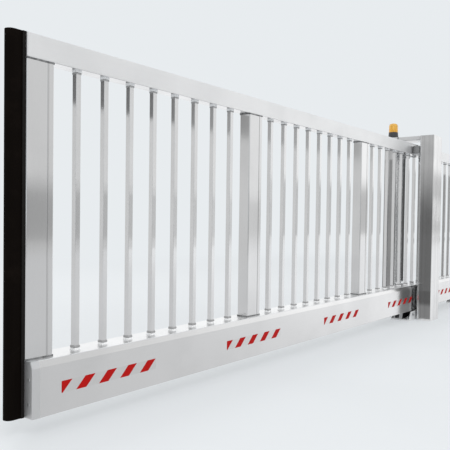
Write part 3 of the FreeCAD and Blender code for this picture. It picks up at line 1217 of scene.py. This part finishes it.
@dataclass
class Carriage:
    """A ground roller carriage, its anchors and the bolts through its flanges."""

    name: str
    coat_light: Colour = (0.90, 0.905, 0.91)
    coat_dull: Colour = (0.76, 0.77, 0.78)
    coat_mirror: float = 0.15
    # Across the saddle beyond this distance, its flanks take painted shade: near-black and without mirror.
    saddle_unshaded_within: float = 0.0147
    flank_painted_shade: Colour = (0.008, 0.008, 0.009)
    axle_light: Colour = (0.62, 0.62, 0.63)
    axle_dull: Colour = (0.50, 0.50, 0.51)
    plate_thickness: float = 0.012
    anchor_nut: HexFastener = HexFastener(across=0.019, height=0.010, washer_radius=0.014, stud_length=0.012)
    anchor_along: float = 0.390
    anchor_across: float = 0.120
    flange_bolt: HexFastener = HexFastener(across=0.017, height=0.007, washer_radius=0.014)
    flange_bolt_along: float = 0.300
    flange_bolt_up: float = 0.050

    def node(self, part: str) -> str:
        """The name of one of the carriage's solid pieces."""
        return f"{self.name}_carriage_{part}"

    def build(self) -> None:
        """Dress the carriage, and add its anchors and flange bolts."""
        # The saddle's flanks are painted near-black and lose their mirror: painted shade standing in for the
        # shade under the leaf.
        shaded_flanks = Zone(Axis.Y, near=self.saddle_unshaded_within, mirror=-1.0, colour=self.flank_painted_shade)
        dress([self.node("base")],
              ZincSteel("carriage_hot_zinc", self.coat_light, self.coat_dull, mirror=self.coat_mirror))
        dress([self.node("saddle")], ZincSteel("saddle_zinc_shaded_flanks", zones=(shaded_flanks,)))
        dress([self.node("axles")],
              MillAluminium("axle_steel", self.axle_light, self.axle_dull, grain=Grain.ALONG_Y))
        dress([self.node("rollers")], GrainedPlastic("carriage_nylon"))
        self.fasten()

    def fasten(self) -> None:
        """Nuts on the four anchors, and hexagon heads on the outside of both flanges."""
        low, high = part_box(self.node("base"))
        centre = (low + high) / 2
        shape = Shape()
        for end in (-1, 1):
            for side, face in ((Side.FRONT, low.y), (Side.REAR, high.y)):
                anchor = Vector((centre.x + end * self.anchor_along / 2,
                                 centre.y + side.value * self.anchor_across / 2,
                                 low.z + self.plate_thickness))
                self.anchor_nut.add(shape, anchor, UP)
                head = Vector((centre.x + end * self.flange_bolt_along / 2, face,
                               low.z + self.flange_bolt_up))
                self.flange_bolt.add(shape, head, Vector((0, side.value, 0)))
        shape.piece(self.node("anchors"), ZincSteel("anchor_zinc"), Body.PORTAL, Slot.STEEL)


# Studio


@dataclass
class Card:
    """A flat card between two corners that only reflections see, so that bright metal shows something."""

    name: str
    low: Point
    high: Point
    glow: Glow
    least_size: float = 1e-4

    def build(self) -> None:
        """Stand the card up."""
        low, high = Vector(self.low), Vector(self.high)
        size = high - low
        quarter = math.pi / 2
        turns = (Matrix.Rotation(quarter, 4, "Y"), Matrix.Rotation(quarter, 4, "X"), Matrix.Identity(4))
        turn = turns[min(range(3), key=lambda axis: size[axis])]
        stretch = Matrix.Diagonal((*(max(side, self.least_size) for side in size), 1.0))
        shape = Shape()
        bmesh.ops.create_grid(shape.bm, x_segments=1, y_segments=1, size=0.5,
                              matrix=Matrix.Translation((low + high) / 2) @ stretch @ turn)
        card = shape.finished(self.name, self.glow)
        card.visible_camera = False
        card.visible_diffuse = False
        card.visible_shadow = False
        card.visible_transmission = False


@dataclass
class Lamp:
    """A square soft lamp that reflections don't see."""

    name: str
    place: Point
    target: Point
    power: float
    side: float = 5.0

    def build(self) -> None:
        """Hang the lamp and point it at its target."""
        data = bpy.data.lights.new(self.name, "AREA")
        data.size = self.side
        data.energy = self.power
        lamp = bpy.data.objects.new(self.name, data)
        lamp.location = self.place
        ahead = Vector(self.target) - Vector(self.place)
        lamp.rotation_euler = ahead.to_track_quat("-Z", "Y").to_euler()
        lamp.visible_glossy = False
        bpy.context.scene.collection.objects.link(lamp)


@dataclass
class PhotoCamera:
    """A camera that stands where the photograph was taken; its angles are in degrees."""

    place: Point = (-5.3921, -2.0575, 0.8522)
    turn: float = 37.8611
    rise: float = -1.4573
    roll: float = 0.7679
    shift: float = 0.02527
    focal_pixels: float = 609.652
    image_pixels: float = 450.0
    sensor: float = 36.0
    view_depth: float = 400.0

    def build(self) -> None:
        """Set the camera up and look through it."""
        turn, rise, roll = (math.radians(angle) for angle in (self.turn, self.rise, self.roll))
        ahead = Vector((math.cos(turn) * math.cos(rise), math.sin(turn) * math.cos(rise), math.sin(rise)))
        level = Vector((math.sin(turn), -math.cos(turn), 0.0))
        over = level.cross(ahead)
        right = math.cos(roll) * level + math.sin(roll) * over
        up = math.cos(roll) * over - math.sin(roll) * level
        matrix = Matrix((right, up, -ahead)).transposed().to_4x4()
        matrix.translation = Vector(self.place)
        data = bpy.data.cameras.new("photo_camera")
        data.sensor_width = self.sensor
        data.lens = self.focal_pixels / self.image_pixels * self.sensor
        data.shift_y = self.shift
        data.clip_end = self.view_depth
        camera = bpy.data.objects.new("photo_camera", data)
        camera.matrix_world = matrix
        bpy.context.scene.collection.objects.link(camera)
        bpy.context.scene.camera = camera


@dataclass
class Studio:
    """Floor, background, cards, lamps and the camera."""

    floor_half: float = 80.0
    background: Colour = (0.807, 0.840, 0.863)
    ambient: float = 0.72
    wall_left: float = -32.0
    wall_right: float = -4.5
    eave_break: float = -9.5
    eave_foot: float = 2.485
    top: float = 9.0
    row_left: float = -6.0
    row_right: float = 40.0
    row_break: float = 19.0
    band_foot: float = 0.42
    band_head: float = 1.42
    flag_x: float = -0.33
    flag_reach: float = 0.45

    def build(self) -> None:
        """Set the stage."""
        bpy.context.scene.view_settings.view_transform = "Standard"
        self.floor()
        self.world()
        for card in (*self.cards(), *self.flags()):
            card.build()
        Lamp("key_light", (-9.0, -7.5, 7.5), (-2.0, 0.0, 0.8), 520.0).build()
        Lamp("fill_light", (7.0, -8.0, 6.0), (-1.0, 0.0, 0.8), 260.0).build()
        Lamp("back_light", (-2.0, 8.0, 7.0), (-2.0, 0.0, 0.8), 240.0).build()
        PhotoCamera().build()

    def floor(self) -> None:
        """A broad floor on the ground."""
        shape = Shape()
        bmesh.ops.create_grid(shape.bm, x_segments=1, y_segments=1, size=self.floor_half)
        shape.finished("floor", PaleFloor("floor_finish", background=self.background))

    def world(self) -> None:
        """An even pale background for the camera and for reflections, with softer ambient light."""
        world = bpy.data.worlds.new("studio")
        bpy.context.scene.world = world
        world.use_nodes = True
        graph = Graph(world.node_tree)
        seen = graph.ray("Camera").larger(graph.ray("Glossy")).larger(graph.ray("Transmission"))
        pale = graph.node("ShaderNodeBackground", {}, {"Color": (*self.background, 1.0), "Strength": 1.0})
        soft = graph.node("ShaderNodeBackground", {}, {"Color": (*WHITE, 1.0), "Strength": self.ambient})
        graph.close("ShaderNodeOutputWorld", graph.mix(seen, soft, pale))

    def cards(self) -> list[Card]:
        """Lay out the cards round the gate.

        Returns:
            A bright card behind, an eave over a wall and a dark corner to the left, and a low band in front.
        """
        left, right, middle = self.row_left, self.row_right, self.row_break
        foot, head = self.band_foot, self.band_head
        near_eave = Glow("near_eave", 0.31, 0.11, (-9.4, -8.2))
        far_eave = Glow("far_eave", 0.66, 0.36, (-12.4, -11.4))
        band = Glow("low_band", 0.32, 0.66, (-1.0, 9.5))
        far_band = Glow("far_band", 0.55, 0.92, (1.90, 2.40), Axis.Z)
        side_band = Glow("side_band", 0.56, 0.95, (3.00, 3.30), Axis.Z)
        soft = Glow("soft_band_edge", 0.49, 0.90, (-2.0, 15.0))
        front = Glow("pale_front", 0.65, 1.0, (1.5, 17.0))
        return [
            Card("card_behind", (-2.0, 7.0, 1.3), (30.0, 7.0, 5.0), Glow("bright_behind", 1.08)),
            Card("card_near_eave", (self.eave_break, 5.0, self.eave_foot), (self.wall_right, 5.0, self.top),
                 near_eave),
            Card("card_far_eave", (self.wall_left, 5.0, self.eave_foot), (self.eave_break, 5.0, self.top),
                 far_eave),
            Card("card_wall", (self.wall_left, 5.02, 0.0), (self.wall_right, 5.02, self.eave_foot),
                 Glow("grey_wall", 0.62)),
            Card("card_corner", (-14.0, -10.0, 0.0), (-14.0, -2.0, 5.0), Glow("dark_corner", 0.22)),
            Card("card_band", (left, -8.0, foot), (right, -8.0, head), band),
            Card("card_far_band", (9.6, -7.95, foot), (middle, -7.95, 2.50), far_band),
            Card("card_side_band", (middle, -7.95, 0.0), (right, -7.95, 3.30), side_band),
            Card("card_side_pane", (21.6, -7.94, 0.95), (23.8, -7.94, 1.95), Glow("side_pane", 1.12)),
            Card("card_band_foot", (left, -7.9, 0.20), (right, -7.9, foot), soft),
            Card("card_band_head", (left, -8.1, head), (right, -8.1, 1.62), soft),
            Card("card_front", (left, -8.3, head), (right, -8.3, self.top), front),
        ]

    def flags(self) -> list[Card]:
        """Lay out dark flags close to the guide posts, which only light that comes back from them meets.

        Returns:
            Flags beside both parts of the front post and the rear post, in the portal and by the beam.
        """
        x, reach = self.flag_x, self.flag_reach
        upper = Glow("upper_flag", 0.145, 0.50, (0.85, 1.62), Axis.Z, one_sided=True)
        lower = Glow("lower_flag", 0.24, 0.11, (0.10, 0.15), Axis.Z, one_sided=True)
        rear = Glow("rear_flag", 0.27, one_sided=True)
        return [
            Card("card_upper_flag", (x, -reach, 0.20), (x, -0.004, 1.75), upper),
            Card("card_lower_flag", (-0.20, -reach, 0.0), (-0.20, -0.081, 0.25), lower),
            Card("card_rear_flag", (x, 0.17, 0.0), (x, reach, 1.45), rear),
            Card("card_inner_flag", (0.30, -0.06, 0.31), (0.30, 0.05, 1.46), Glow("inner_flag", 0.08)),
            Card("card_gap_flag", (0.03, -0.104, 0.0), (0.03, -0.081, 0.31), Glow("gap_flag", 0.01)),
        ]


def main() -> None:
    """Build the gate's looks piece by piece, then the studio."""
    logging.basicConfig(level=logging.INFO, format="%(name)s %(message)s")
    Leaf().build()
    HazardTape().build()
    SafetyEdge().build()
    Beacon().build()
    Portal().build()
    Carriage("front").build()
    Carriage("rear").build()
    Studio().build()


if __name__ == "__main__":
    main()
